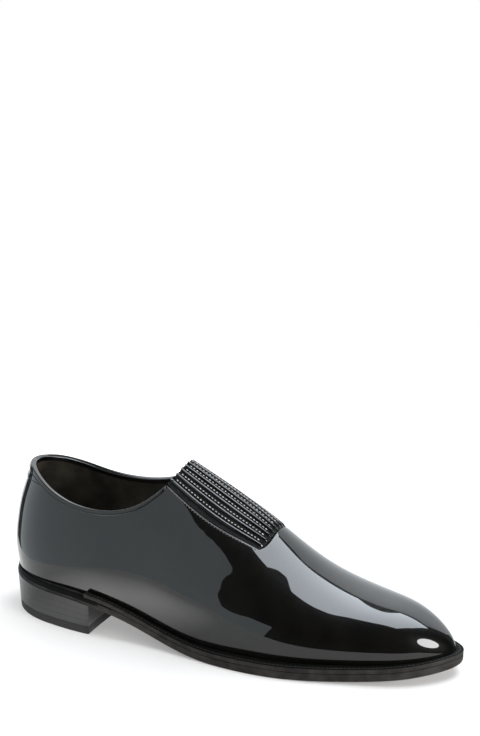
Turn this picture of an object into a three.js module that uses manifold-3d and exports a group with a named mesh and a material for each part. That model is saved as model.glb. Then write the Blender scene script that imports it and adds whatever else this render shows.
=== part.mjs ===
// Patent slip-on shoe, right foot: a closed vamp and quarter on one last, a pleated elastic
// panel let into the instep, a bound topline, and a welted leather sole on a stacked heel.
// Millimetres. +X runs from heel to toe, -Y is the outer side, +Z is up, and the floor is Z = 0.

import * as THREE from 'three';
import Module from 'manifold-3d';

const wasm = await Module();
wasm.setup();

// Driving dimensions

const outsoleLength = 299.5;
const treadWidth = 100;
const outsoleThickness = 5.0;
const waistThinning = 0.6;
const weltThickness = 2.8;
const weltLedge = 7.6;
const weltStart = 72;

const waistRise = 20.2;
const seatRise = 4.6;
const toeSpring = 7.6;

const heelLength = 75;
const heelTaper = 1.1;
const breastLean = 1.4;
const topPieceThickness = 5.6;

const wallThickness = 2.2;
const insoleThickness = 2.6;
const clearance = 0.3;

const instepHeight = 112;
const quarterHeight = 98;
const backLean = 14;
const seatLedge = 1.6;
const toeLedge = 4.4;

const bindingWidth = 3.2;
const bindingProud = 0.45;

const panelHalfWidth = 22.2;
const panelBack = 120;
const panelFront = 180;
const panelBackArch = 5;
const panelFrontArch = 4;
const panelStandOff = 0.1;
const pleatCount = 9;
const pleatHeight = 1.0;

// Sections of the sole. at: share of the outsole's length. outer, inner and swing: shares of the
// tread width, swing being how far the middle line lies to the inner side. outerLedge and
// innerLedge: how far the sole stands out past the upper, as shares of the welt's ledge.

const soleSections = [
  { at: 0.00, outer: 0.325, inner: 0.330, swing: 0.000, outerLedge: 0.21, innerLedge: 0.21 },
  { at: 0.12, outer: 0.383, inner: 0.340, swing: -0.010, outerLedge: 0.42, innerLedge: 0.30 },
  { at: 0.25, outer: 0.425, inner: 0.330, swing: -0.015, outerLedge: 0.60, innerLedge: 0.40 },
  { at: 0.35, outer: 0.420, inner: 0.325, swing: -0.010, outerLedge: 0.64, innerLedge: 0.44 },
  { at: 0.45, outer: 0.448, inner: 0.348, swing: -0.005, outerLedge: 0.70, innerLedge: 0.50 },
  { at: 0.55, outer: 0.491, inner: 0.408, swing: 0.000, outerLedge: 0.92, innerLedge: 0.70 },
  { at: 0.65, outer: 0.494, inner: 0.468, swing: 0.000, outerLedge: 1.02, innerLedge: 0.86 },
  { at: 0.75, outer: 0.441, inner: 0.485, swing: 0.005, outerLedge: 1.00, innerLedge: 0.90 },
  { at: 0.84, outer: 0.372, inner: 0.415, swing: 0.015, outerLedge: 0.92, innerLedge: 0.86 },
  { at: 0.92, outer: 0.325, inner: 0.310, swing: 0.026, outerLedge: 0.84, innerLedge: 0.80 },
  { at: 1.00, outer: 0.250, inner: 0.195, swing: 0.040, outerLedge: 0.72, innerLedge: 0.72 },
];
const flatStart = 0.57;
const flatEnd = 0.66;
const riseRun = 0.41;
const waistAt = 0.4;
const waistSpread = 0.14;
const heelRound = 50;
const toeRound = 66;
const toeFall = 40;

// Sections of the upper. ridge: height of the middle line above the floor, a share of the instep
// height; behind the throat it only shapes the walls, which the topline cuts. wallUp and
// shoulderUp: shares of the section's height. wallOut and shoulderOut: shares of its half width.
// ridgeSwing: share of the tread width.

const upperSections = [
  { at: 0.00, ridge: 1.196, wallUp: 0.20, wallOut: 1.03, shoulderUp: 0.74, shoulderOut: 0.84, ridgeSwing: 0.000 },
  { at: 0.10, ridge: 1.196, wallUp: 0.20, wallOut: 1.05, shoulderUp: 0.74, shoulderOut: 0.86, ridgeSwing: -0.010 },
  { at: 0.20, ridge: 1.179, wallUp: 0.21, wallOut: 1.06, shoulderUp: 0.74, shoulderOut: 0.88, ridgeSwing: -0.015 },
  { at: 0.30, ridge: 1.116, wallUp: 0.23, wallOut: 1.06, shoulderUp: 0.76, shoulderOut: 0.90, ridgeSwing: -0.010 },
  { at: 0.40, ridge: 0.990, wallUp: 0.26, wallOut: 1.06, shoulderUp: 0.80, shoulderOut: 0.88, ridgeSwing: 0.010 },
  { at: 0.50, ridge: 0.846, wallUp: 0.30, wallOut: 1.05, shoulderUp: 0.80, shoulderOut: 0.82, ridgeSwing: 0.030 },
  { at: 0.60, ridge: 0.678, wallUp: 0.34, wallOut: 1.05, shoulderUp: 0.82, shoulderOut: 0.76, ridgeSwing: 0.040 },
  { at: 0.70, ridge: 0.480, wallUp: 0.36, wallOut: 1.06, shoulderUp: 0.88, shoulderOut: 0.78, ridgeSwing: 0.045 },
  { at: 0.80, ridge: 0.366, wallUp: 0.36, wallOut: 1.07, shoulderUp: 0.95, shoulderOut: 0.84, ridgeSwing: 0.045 },
  { at: 0.90, ridge: 0.322, wallUp: 0.36, wallOut: 1.08, shoulderUp: 0.98, shoulderOut: 0.86, ridgeSwing: 0.040 },
  { at: 1.00, ridge: 0.279, wallUp: 0.36, wallOut: 1.08, shoulderUp: 0.98, shoulderOut: 0.86, ridgeSwing: 0.040 },
];

// The back of the heel from the side. up: share of the quarter height. lean: how far the back
// lies forward of the sole's end, as a share of backLean.

const backSections = [
  { up: 0.24, lean: 0.110 },
  { up: 0.32, lean: 0.075 },
  { up: 0.46, lean: 0.000 },
  { up: 0.61, lean: 0.125 },
  { up: 0.77, lean: 0.390 },
  { up: 1.00, lean: 1.000 },
  { up: 1.45, lean: 1.600 },
];

// The topline from the side. at: share of the outsole's length. outer and inner: its height on
// either side of the foot, as shares of the quarter height. outerThroat and innerThroat: how much
// of the way it has climbed from there to the panel's back corner.

const toplineSections = [
  { at: -0.02, outer: 1.000, inner: 1.000, outerThroat: 0, innerThroat: 0 },
  { at: 0.03, outer: 1.003, inner: 1.000, outerThroat: 0, innerThroat: 0 },
  { at: 0.08, outer: 0.978, inner: 0.955, outerThroat: 0, innerThroat: 0 },
  { at: 0.16, outer: 0.882, inner: 0.886, outerThroat: 0, innerThroat: 0 },
  { at: 0.24, outer: 0.833, inner: 0.866, outerThroat: 0, innerThroat: 0 },
  { at: 0.32, outer: 0.833, inner: 0.866, outerThroat: 0.10, innerThroat: 0.27 },
  { at: 0.37, outer: 0.833, inner: 0.866, outerThroat: 0.52, innerThroat: 0.70 },
  { at: 0.405, outer: 0.833, inner: 0.866, outerThroat: 1.07, innerThroat: 1.06 },
];

// The panel from above. along: share of its length. half: share of its half width. swing: how far
// its middle lies to the inner side, a share of its half width.

const panelSections = [
  { along: 0.0, half: 0.875, swing: -0.070 },
  { along: 0.3, half: 0.98, swing: -0.055 },
  { along: 0.7, half: 1.00, swing: -0.030 },
  { along: 1.0, half: 0.93, swing: 0.015 },
];

// How finely the shapes are faceted

const upperStations = 38;
const upperAcross = 24;
const soleStations = 34;
const heelStations = 14;
const panelAlong = 9;
const pleatFacets = 4;

// Natural cubic spline through one column of a table

function columnCurve(rows, across, column) {
  const x = rows.map((row) => row[across]);
  const y = rows.map((row) => row[column]);
  const last = x.length - 1;
  const bend = new Array(x.length).fill(0);
  const carry = new Array(x.length).fill(0);
  for (let i = 1; i < last; i += 1) {
    const share = (x[i] - x[i - 1]) / (x[i + 1] - x[i - 1]);
    const pivot = share * bend[i - 1] + 2;
    const slopeChange = (y[i + 1] - y[i]) / (x[i + 1] - x[i]) - (y[i] - y[i - 1]) / (x[i] - x[i - 1]);
    bend[i] = (share - 1) / pivot;
    carry[i] = ((6 * slopeChange) / (x[i + 1] - x[i - 1]) - share * carry[i - 1]) / pivot;
  }
  bend[last] = 0;
  for (let i = last - 1; i >= 0; i -= 1) {
    bend[i] = bend[i] * bend[i + 1] + carry[i];
  }
  return (t) => {
    let i = 0;
    while (i < last - 1 && t > x[i + 1]) {
      i += 1;
    }
    const step = x[i + 1] - x[i];
    const a = (x[i + 1] - t) / step;
    const b = (t - x[i]) / step;
    const swell = ((a ** 3 - a) * bend[i] + (b ** 3 - b) * bend[i + 1]) * (step ** 2 / 6);
    return a * y[i] + b * y[i + 1] + swell;
  };
}

function clamp01(t) {
  return Math.min(1, Math.max(0, t));
}

// Quarter of a rounded end: 0 at the tip, 1 from one radius inwards
function roundEnd(distance, radius, fullness = 3) {
  return Math.sqrt(Math.max(0, 1 - (1 - clamp01(distance / radius)) ** fullness));
}

const sole = {};
for (const column of ['outer', 'inner', 'swing', 'outerLedge', 'innerLedge']) {
  sole[column] = columnCurve(soleSections, 'at', column);
}
const upperShape = {};
for (const column of ['ridge', 'wallUp', 'wallOut', 'shoulderUp', 'shoulderOut', 'ridgeSwing']) {
  upperShape[column] = columnCurve(upperSections, 'at', column);
}
const backShape = columnCurve(backSections, 'up', 'lean');
const toplineShape = {};
for (const column of ['outer', 'inner', 'outerThroat', 'innerThroat']) {
  toplineShape[column] = columnCurve(toplineSections, 'at', column);
}
const panelShape = {
  half: columnCurve(panelSections, 'along', 'half'),
  swing: columnCurve(panelSections, 'along', 'swing'),
};

// The sole from the side: the flat tread, the arch, the seat and the toe spring

function soleBottom(x) {
  const at = x / outsoleLength;
  const s = clamp01((flatStart - at) / riseRun);
  const arch = waistRise * s ** 3 * (s * (6 * s - 15) + 10);
  const seat = seatRise * clamp01((flatStart - at) / flatStart) ** 2;
  const toe = toeSpring * (Math.max(0, at - flatEnd) / (1 - flatEnd)) ** 2;
  return arch + seat + toe;
}

function soleTop(x) {
  const fromWaist = (x / outsoleLength - waistAt) / waistSpread;
  return soleBottom(x) + outsoleThickness - waistThinning * Math.exp(-(fromWaist ** 2));
}

function featherHeight(x) {
  return soleTop(x) + clearance;
}

// The outline from above: y of the outer and inner edge. The upper's outline is the sole's,
// drawn in by the ledge.

function soleOutline(x) {
  const at = x / outsoleLength;
  const ends = roundEnd(x, heelRound) * roundEnd(outsoleLength - x, toeRound);
  const middle = sole.swing(at) * treadWidth;
  return {
    outer: middle - sole.outer(at) * treadWidth * ends,
    inner: middle + sole.inner(at) * treadWidth * ends,
    middle,
  };
}

const upperBack = seatLedge;
const upperTip = outsoleLength - toeLedge;

function upperOutline(x) {
  const at = x / outsoleLength;
  const heelEnd = roundEnd(x - upperBack, heelRound - seatLedge);
  const toeEnd = roundEnd(upperTip - x, toeRound - toeLedge);
  return {
    outerHalf: (sole.outer(at) * treadWidth - sole.outerLedge(at) * weltLedge) * heelEnd * toeEnd,
    innerHalf: (sole.inner(at) * treadWidth - sole.innerLedge(at) * weltLedge) * heelEnd * toeEnd,
    middle: sole.swing(at) * treadWidth,
    ends: heelEnd * toeEnd,
  };
}

// Clamped cubic B-spline through seven control points, v from 0 to 1

const knots = [0, 0, 0, 0, 0.25, 0.5, 0.75, 1, 1, 1, 1];

function splinePoint(points, v) {
  const span = Math.min(6, 3 + Math.floor(v * 4));
  const work = [0, 1, 2, 3].map((k) => [...points[span - 3 + k]]);
  for (let level = 1; level <= 3; level += 1) {
    for (let k = 3; k >= level; k -= 1) {
      const low = knots[span - 3 + k];
      const high = knots[span + 1 + k - level];
      const share = (v - low) / (high - low);
      work[k] = work[k].map((value, axis) => (1 - share) * work[k - 1][axis] + share * value);
    }
  }
  return work[3];
}

// The last's surface. u runs from heel to toe, closer at the ends; v runs from the outer feather
// line over the ridge to the inner one.

function stationX(u) {
  return upperBack + (upperTip - upperBack) * (0.5 - 0.5 * Math.cos(Math.PI * u));
}

function sectionAt(x) {
  const at = x / outsoleLength;
  const outline = upperOutline(x);
  const low = featherHeight(x);
  const rise = (upperShape.ridge(at) * instepHeight - low) * roundEnd(upperTip - x, toeFall, 2.6);
  const wallZ = low + rise * upperShape.wallUp(at);
  const shoulderZ = low + rise * upperShape.shoulderUp(at);
  const crownZ = low + rise * (1.5 - 0.5 * upperShape.shoulderUp(at));
  const wallOut = upperShape.wallOut(at);
  const shoulderOut = upperShape.shoulderOut(at);
  const { outerHalf, innerHalf, middle, ends } = outline;
  const crownY = middle + (upperShape.ridgeSwing(at) * treadWidth - middle) * ends;
  return [
    [middle - outerHalf, low],
    [middle - outerHalf * wallOut, wallZ],
    [middle - outerHalf * shoulderOut, shoulderZ],
    [crownY, crownZ],
    [middle + innerHalf * shoulderOut, shoulderZ],
    [middle + innerHalf * wallOut, wallZ],
    [middle + innerHalf, low],
  ];
}

const backReach = 1.2 * heelLength;

function lastPoint(x, v) {
  const [y, z] = splinePoint(sectionAt(x), v);
  const fade = clamp01(1 - (x - upperBack) / backReach);
  const up = Math.min(Math.max(z / quarterHeight, backSections[0].up), 1.45);
  const lean = (backShape(up) * backLean - upperBack) * fade * fade * (3 - 2 * fade);
  return new THREE.Vector3(x + lean, y, z);
}

function lastNormal(u, v) {
  const step = 0.004;
  const u1 = Math.max(step, Math.min(1 - step, u));
  const v1 = Math.max(step, Math.min(1 - step, v));
  const alongX = lastPoint(stationX(u1 + step / 2), v1).sub(lastPoint(stationX(u1 - step / 2), v1));
  const alongV = lastPoint(stationX(u1), v1 + step / 2).sub(lastPoint(stationX(u1), v1 - step / 2));
  const normal = alongX.cross(alongV).normalize();
  if (u === 0) {
    normal.y = 0;
    normal.normalize();
  }
  return u === 1 ? new THREE.Vector3(1, 0, 0) : normal;
}

// At the back seam, u = 0, both sides of the section fall together
function offsetPoint(u, v, offset) {
  const side = u === 0 ? Math.min(v, 1 - v) : v;
  return lastPoint(stationX(u), side).addScaledVector(lastNormal(u, side), offset);
}

// A closed mesh from rows of points that form closed rings, given to manifold-3d. Points that
// fall together are joined, and triangles without area are left out.

class SolidBuilder {
  constructor() {
    this.points = [];
    this.index = new Map();
    this.triangles = [];
  }

  vertex(point) {
    const key = point.toArray().map((value) => Math.round(value * 1e4)).join(' ');
    if (!this.index.has(key)) {
      this.index.set(key, this.points.length);
      this.points.push(point);
    }
    return this.index.get(key);
  }

  triangle(a, b, c) {
    const corners = [this.vertex(a), this.vertex(b), this.vertex(c)];
    if (new Set(corners).size === 3) {
      this.triangles.push(corners);
    }
  }

  quad(a, b, c, d) {
    this.triangle(a, b, c);
    this.triangle(a, c, d);
  }

  // Stitches each ring to the next; a ring of n points closes on itself
  rings(rows) {
    for (let i = 0; i + 1 < rows.length; i += 1) {
      const count = rows[i].length;
      for (let j = 0; j < count; j += 1) {
        const k = (j + 1) % count;
        this.quad(rows[i][j], rows[i + 1][j], rows[i + 1][k], rows[i][k]);
      }
    }
  }

  // Closes the end of a ring whose second half runs back beside the first
  cap(ring, reverse) {
    const half = ring.length / 2;
    for (let j = 0; j + 1 < half; j += 1) {
      const corners = [ring[j], ring[j + 1], ring[ring.length - 2 - j], ring[ring.length - 1 - j]];
      this.quad(...(reverse ? corners.reverse() : corners));
    }
  }

  solid() {
    const positions = new Float32Array(this.points.flatMap((point) => point.toArray()));
    let volume = 0;
    for (const [a, b, c] of this.triangles) {
      const cross = this.points[b].clone().cross(this.points[c]);
      volume += this.points[a].dot(cross);
    }
    const turned = volume < 0 ? this.triangles.map(([a, b, c]) => [a, c, b]) : this.triangles;
    const triangles = new Uint32Array(turned.flat());
    const mesh = new wasm.Mesh({ numProp: 3, vertProperties: positions, triVerts: triangles });
    return new wasm.Manifold(mesh);
  }
}

function loft(rings, capped = { start: false, end: false }) {
  const builder = new SolidBuilder();
  builder.rings(rings);
  if (capped.start) {
    builder.cap(rings[0], false);
  }
  if (capped.end) {
    builder.cap(rings[rings.length - 1], true);
  }
  return builder.solid();
}

function lerp(a, b, t) {
  return a + (b - a) * t;
}

// The whole last, swollen or shrunk by offset, with straight skirts below the feather line

function lastBody(offset, skirt = 0) {
  const rings = [];
  for (let i = 0; i <= upperStations; i += 1) {
    const u = i / upperStations;
    const ring = [];
    for (let j = 0; j <= upperAcross; j += 1) {
      ring.push(offsetPoint(u, j / upperAcross, offset));
    }
    if (skirt > 0) {
      const down = new THREE.Vector3(0, 0, -skirt);
      ring.push(ring[upperAcross].clone().add(down), ring[0].clone().add(down));
    }
    rings.push(ring);
  }
  return loft(rings);
}

// The panel seen from above: along 0 at its back edge, 1 at its front edge; across 0 to 1

function panelPlan(along, across, grow = 0) {
  const side = 2 * across - 1;
  const back = panelBack + panelBackArch * (1 - side ** 2) - grow;
  const front = panelFront + panelFrontArch * (1 - Math.abs(side) ** 5) + grow;
  const half = panelShape.half(along) * panelHalfWidth + grow;
  const middle = panelShape.swing(along) * panelHalfWidth;
  return { x: lerp(back, front, along), y: middle + side * half };
}

// A point of the last over a place in plan: v is found by halving, x is ahead of the back curve

function surfaceOver(x, y) {
  let low = 0.12;
  let high = 0.88;
  for (let i = 0; i < 30; i += 1) {
    const middle = (low + high) / 2;
    if (lastPoint(x, middle).y < y) {
      low = middle;
    } else {
      high = middle;
    }
  }
  const v = (low + high) / 2;
  const share = (x - upperBack) / (upperTip - upperBack);
  const u = Math.acos(1 - 2 * share) / Math.PI;
  return { u, v };
}

// The topline climbs to the panel's back corners, where they lie on the last

function cornerHeight(across) {
  const { x, y } = panelPlan(0, across);
  const { v } = surfaceOver(x, y);
  return lastPoint(x, v).z;
}

const throatHeight = { outer: cornerHeight(0), inner: cornerHeight(1) };

function toplineHeight(x, side) {
  const first = toplineSections[0].at;
  const last = toplineSections[toplineSections.length - 1].at;
  const at = Math.min(Math.max(x / outsoleLength, first), last);
  const quarter = toplineShape[side](at) * quarterHeight;
  return lerp(quarter, throatHeight[side], toplineShape[`${side}Throat`](at));
}

// Everything above the topline, lowered by drop, as far forward as reach

function aboveTopline(drop, reach) {
  const start = -seatLedge - backLean;
  const steps = 20;
  const wide = 0.7 * treadWidth;
  const backSeam = 0.08 * treadWidth;
  const top = 1.8 * instepHeight;
  const across = [-wide, -backSeam, backSeam, wide];
  const rings = [];
  for (let i = 0; i <= steps; i += 1) {
    const x = lerp(start, reach, i / steps);
    const heights = { outer: toplineHeight(x, 'outer') - drop, inner: toplineHeight(x, 'inner') - drop };
    const low = across.map((y) => new THREE.Vector3(x, y, y < 0 ? heights.outer : heights.inner));
    const high = across.map((y) => new THREE.Vector3(x, y, top));
    rings.push([...low, ...high.reverse()]);
  }
  return loft(rings, { start: true, end: true });
}

// The opening that the panel is let into, from below the upper to above it

function panelCutter() {
  const steps = 14;
  const behind = 3 * bindingWidth;
  const low = 0.36 * instepHeight;
  const high = 1.4 * instepHeight;
  const outline = [];
  for (let i = 0; i <= steps; i += 1) {
    outline.push(panelPlan(i / steps, 0, clearance));
  }
  for (let i = 1; i < steps; i += 1) {
    outline.push(panelPlan(1, i / steps, clearance));
  }
  for (let i = steps; i >= 0; i -= 1) {
    outline.push(panelPlan(i / steps, 1, clearance));
  }
  for (let i = steps; i >= 0; i -= 1) {
    const point = panelPlan(0, i / steps, clearance);
    outline.push({ x: point.x - behind, y: point.y });
  }
  const shape = new THREE.Shape(outline.map((point) => new THREE.Vector2(point.x, point.y)));
  const geometry = new THREE.ExtrudeGeometry(shape, { depth: high - low, bevelEnabled: false });
  geometry.translate(0, 0, low);
  return geometrySolid(geometry);
}

function geometrySolid(geometry) {
  const source = geometry.index ? geometry.toNonIndexed() : geometry;
  const position = source.getAttribute('position');
  const builder = new SolidBuilder();
  for (let i = 0; i < position.count; i += 3) {
    const corners = [0, 1, 2].map((k) => new THREE.Vector3().fromBufferAttribute(position, i + k));
    builder.triangle(...corners);
  }
  return builder.solid();
}

// The pleated panel: tucks run from its back edge to its front edge and narrow with it

function pleatedPanel() {
  const across = pleatCount * pleatFacets;
  const rings = [];
  for (let i = 0; i <= panelAlong; i += 1) {
    const outside = [];
    const inside = [];
    for (let j = 0; j <= across; j += 1) {
      const { x, y } = panelPlan(i / panelAlong, j / across);
      const { u, v } = surfaceOver(x, y);
      const tuck = Math.abs(Math.sin((Math.PI * j) / pleatFacets));
      const point = lastPoint(x, v);
      const normal = lastNormal(u, v);
      outside.push(point.clone().addScaledVector(normal, panelStandOff + pleatHeight * tuck));
      inside.push(point.clone().addScaledVector(normal, -wallThickness));
    }
    rings.push([...outside, ...inside.reverse()]);
  }
  return loft(rings, { start: true, end: true });
}

// Slabs that follow the sole from the side, from its outline or a smaller one

function stationsBetween(start, end, count) {
  const stations = [flatStart, flatEnd].map((at) => at * outsoleLength);
  for (let i = 0; i <= count; i += 1) {
    stations.push(lerp(start, end, 0.5 - 0.5 * Math.cos((Math.PI * i) / count)));
  }
  const inside = stations.filter((x) => x >= start && x <= end);
  return inside.sort((a, b) => a - b).filter((x, i, all) => i === 0 || x - all[i - 1] > 0.02);
}

function soleSlab(start, end, bottomAt, topAt) {
  const rings = stationsBetween(start, end, soleStations).map((x) => {
    const { outer, inner } = soleOutline(x);
    return [
      new THREE.Vector3(x, outer, bottomAt(x)),
      new THREE.Vector3(x, inner, bottomAt(x)),
      new THREE.Vector3(x, inner, topAt(x)),
      new THREE.Vector3(x, outer, topAt(x)),
    ];
  });
  return loft(rings, { start: start > 0, end: end < outsoleLength });
}

// The heel's outline narrows downwards all round, and its breast leans back

function heelSlab(bottomAt, topAt) {
  const full = soleBottom(0);
  const rings = [];
  for (let i = 0; i <= heelStations; i += 1) {
    const x = heelLength * (i / heelStations) ** 2;
    const { outer, inner } = soleOutline(x);
    const place = (y, z) => {
      const low = 1 - z / full;
      const ends = roundEnd(x, heelRound);
      const shift = low * lerp(heelTaper, -breastLean, i / heelStations);
      return new THREE.Vector3(x + shift, y - Math.sign(y) * heelTaper * low * ends, z);
    };
    rings.push([
      place(outer, bottomAt(x)),
      place(inner, bottomAt(x)),
      place(inner, topAt(x)),
      place(outer, topAt(x)),
    ]);
  }
  return loft(rings, { start: false, end: true });
}

// Materials

const patent = new THREE.MeshStandardMaterial({ color: 0x0b0b0c, roughness: 0.06, metalness: 0 });
const pleated = new THREE.MeshStandardMaterial({ color: 0x17181b, roughness: 0.42, metalness: 0 });
const binding = new THREE.MeshStandardMaterial({ color: 0x101011, roughness: 0.3, metalness: 0 });
const lining = new THREE.MeshStandardMaterial({ color: 0x1c1712, roughness: 0.7, metalness: 0 });
const weltLeather = new THREE.MeshStandardMaterial({ color: 0x121212, roughness: 0.5, metalness: 0 });
const soleLeather = new THREE.MeshStandardMaterial({ color: 0x1b1b1c, roughness: 0.48, metalness: 0 });
const heelLeather = new THREE.MeshStandardMaterial({ color: 0x202022, roughness: 0.4, metalness: 0 });
const rubber = new THREE.MeshStandardMaterial({ color: 0x141414, roughness: 0.75, metalness: 0 });

function node(name, solid, material) {
  const mesh = solid.getMesh();
  const geometry = new THREE.BufferGeometry();
  const corners = [];
  for (const vertex of mesh.triVerts) {
    for (let axis = 0; axis < 3; axis += 1) {
      corners.push(mesh.vertProperties[vertex * mesh.numProp + axis]);
    }
  }
  geometry.setAttribute('position', new THREE.Float32BufferAttribute(corners, 3));
  geometry.computeVertexNormals();
  const object = new THREE.Mesh(geometry, material);
  object.name = name;
  return object;
}

// The pieces

const skirtDepth = 9;
const collarReach = panelBack;
const panelGap = panelCutter();

function upper() {
  const shell = lastBody(0).subtract(lastBody(-wallThickness, skirtDepth));
  const collar = aboveTopline(bindingWidth + clearance, collarReach + clearance);
  return shell.subtract(collar).subtract(panelGap);
}

function toplineBinding() {
  const thick = lastBody(bindingProud).subtract(lastBody(-wallThickness - bindingProud, skirtDepth));
  const band = aboveTopline(bindingWidth, collarReach).subtract(aboveTopline(0, collarReach));
  return thick.intersect(band).subtract(panelGap);
}

function insole() {
  const bottomAt = (x) => soleTop(x) + clearance;
  const slab = soleSlab(0, outsoleLength, bottomAt, (x) => bottomAt(x) + insoleThickness);
  return slab.intersect(lastBody(-wallThickness - clearance, skirtDepth));
}

function welt() {
  const bottomAt = (x) => soleTop(x) + clearance;
  const strip = soleSlab(weltStart, outsoleLength, bottomAt, (x) => bottomAt(x) + weltThickness);
  return strip.subtract(lastBody(clearance, skirtDepth));
}

const outsole = soleSlab(0, outsoleLength, soleBottom, soleTop);
const heelStack = heelSlab(() => topPieceThickness + clearance, (x) => soleBottom(x) - clearance);
const topPiece = heelSlab(() => 0, () => topPieceThickness);

const shoe = new THREE.Group();
shoe.name = 'patent_slip_on_shoe';
shoe.add(
  node('upper', upper(), patent),
  node('instep_panel', pleatedPanel(), pleated),
  node('topline_binding', toplineBinding(), binding),
  node('insole', insole(), lining),
  node('welt', welt(), weltLeather),
  node('outsole', outsole, soleLeather),
  node('heel_stack', heelStack, heelLeather),
  node('top_piece', topPiece, rubber),
);

// The reference point is on the floor under the middle of the shoe's box

const box = new THREE.Box3().setFromObject(shoe);
const centre = box.getCenter(new THREE.Vector3());
shoe.position.set(-centre.x, -centre.y, -box.min.z);

export default shoe;
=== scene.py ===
# %% [markdown]
# # A patent slip-on shoe
# The shoe is a plain, closed evening shoe for the right foot: a glossy upper drawn over one last,
# a tucked elastic panel over the instep, and a welted leather sole on a low stacked heel.
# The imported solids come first. They stay the fixed frame, and each large piece below stands for one.

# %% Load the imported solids
import math
import bpy
import numpy as np
from mathutils import Matrix, Vector


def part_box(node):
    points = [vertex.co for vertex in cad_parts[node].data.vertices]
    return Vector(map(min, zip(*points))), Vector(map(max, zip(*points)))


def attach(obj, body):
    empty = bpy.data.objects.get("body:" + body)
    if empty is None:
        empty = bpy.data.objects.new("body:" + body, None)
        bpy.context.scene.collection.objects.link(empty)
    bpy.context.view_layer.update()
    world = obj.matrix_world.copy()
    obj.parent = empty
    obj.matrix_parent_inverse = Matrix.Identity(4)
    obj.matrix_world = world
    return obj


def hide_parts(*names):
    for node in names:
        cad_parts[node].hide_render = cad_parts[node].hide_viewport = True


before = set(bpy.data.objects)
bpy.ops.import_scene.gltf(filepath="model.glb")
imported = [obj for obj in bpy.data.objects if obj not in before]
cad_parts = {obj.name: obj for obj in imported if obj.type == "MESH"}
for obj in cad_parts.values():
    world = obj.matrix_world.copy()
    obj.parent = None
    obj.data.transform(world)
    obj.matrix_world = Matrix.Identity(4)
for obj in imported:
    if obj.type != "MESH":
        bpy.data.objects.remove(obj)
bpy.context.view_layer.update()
print("solids:", ", ".join(sorted(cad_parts)))

# %% [markdown]
# ## Measures of the last
# A shoe gets its shape from the last, the wooden foot that the leather is pulled over. Patent
# leather mirrors the room, so a dent of a tenth of a millimetre shows. The last is therefore not
# pushed into shape by eye but described by the same short tables as the solids: widths, heights
# and swings at a few places from heel to toe. Lengths here are in millimetres.

# %% Sizes in millimetres
sole_length, tread_width = 299.5, 100.0
sole_thickness, waist_thinning, waist_at, waist_spread = 5.0, 0.6, 0.40, 0.14
welt_thickness, welt_ledge, welt_start = 2.8, 7.6, 72.0
waist_rise, seat_rise, toe_spring = 20.2, 4.6, 7.6
heel_length, heel_taper, breast_lean, top_piece = 75.0, 1.1, 1.4, 5.6
wall, insole_thickness, clearance = 2.2, 2.6, 0.3
instep_height, quarter_height, back_lean = 112.0, 98.0, 14.0
seat_ledge, toe_ledge = 1.6, 4.4
heel_round, toe_round, toe_fall = 50.0, 66.0, 40.0
flat_start, flat_end, rise_run = 0.57, 0.66, 0.41
back_reach = 1.2 * heel_length
upper_back, upper_tip = seat_ledge, sole_length - toe_ledge
binding_width, binding_proud = 3.2, 0.7
panel_half, panel_back, panel_front = 22.2, 120.0, 180.0
panel_back_arch, panel_front_arch = 5.0, 4.0
tuck_count = 9

# %% Tables from heel to toe, as shares of those sizes
sole_at = [0, 0.12, 0.25, 0.35, 0.45, 0.55, 0.65, 0.75, 0.84, 0.92, 1.0]
sole_table = {
    "outer": [0.325, 0.383, 0.425, 0.420, 0.448, 0.491, 0.494, 0.441, 0.372, 0.325, 0.250],
    "inner": [0.330, 0.340, 0.330, 0.325, 0.348, 0.408, 0.468, 0.485, 0.415, 0.310, 0.195],
    "swing": [0, -0.010, -0.015, -0.010, -0.005, 0, 0, 0.005, 0.015, 0.026, 0.040],
    "outer_ledge": [0.21, 0.42, 0.60, 0.64, 0.70, 0.92, 1.02, 1.00, 0.92, 0.84, 0.72],
    "inner_ledge": [0.21, 0.30, 0.40, 0.44, 0.50, 0.70, 0.86, 0.90, 0.86, 0.80, 0.72],
}
last_at = [0, 0.1, 0.2, 0.3, 0.4, 0.5, 0.6, 0.7, 0.8, 0.9, 1.0]
last_table = {
    "ridge": [1.196, 1.196, 1.179, 1.116, 0.990, 0.846, 0.678, 0.480, 0.366, 0.322, 0.279],
    "wall_up": [0.20, 0.20, 0.21, 0.23, 0.26, 0.30, 0.34, 0.36, 0.36, 0.36, 0.36],
    "wall_out": [1.03, 1.05, 1.06, 1.06, 1.06, 1.05, 1.05, 1.06, 1.07, 1.08, 1.08],
    "shoulder_up": [0.74, 0.74, 0.74, 0.76, 0.80, 0.80, 0.82, 0.88, 0.95, 0.98, 0.98],
    "shoulder_out": [0.84, 0.86, 0.88, 0.90, 0.88, 0.82, 0.76, 0.78, 0.84, 0.86, 0.86],
    "ridge_swing": [0, -0.010, -0.015, -0.010, 0.010, 0.030, 0.040, 0.045, 0.045, 0.040, 0.040],
}
back_up = [0.24, 0.32, 0.46, 0.61, 0.77, 1.00, 1.45]
back_table = {"lean": [0.110, 0.075, 0, 0.125, 0.390, 1.0, 1.6]}
topline_at = [-0.02, 0.03, 0.08, 0.16, 0.24, 0.32, 0.37, 0.405]
topline_table = {
    "outer": [1.000, 1.003, 0.978, 0.882, 0.833, 0.833, 0.833, 0.833],
    "inner": [1.000, 1.000, 0.955, 0.886, 0.866, 0.866, 0.866, 0.866],
    "outer_throat": [0, 0, 0, 0, 0, 0.10, 0.52, 1.07],
    "inner_throat": [0, 0, 0, 0, 0, 0.27, 0.70, 1.06],
}
panel_at = [0, 0.3, 0.7, 1.0]
panel_table = {"half": [0.875, 0.98, 1.00, 0.93], "swing": [-0.070, -0.055, -0.030, 0.015]}

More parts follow.
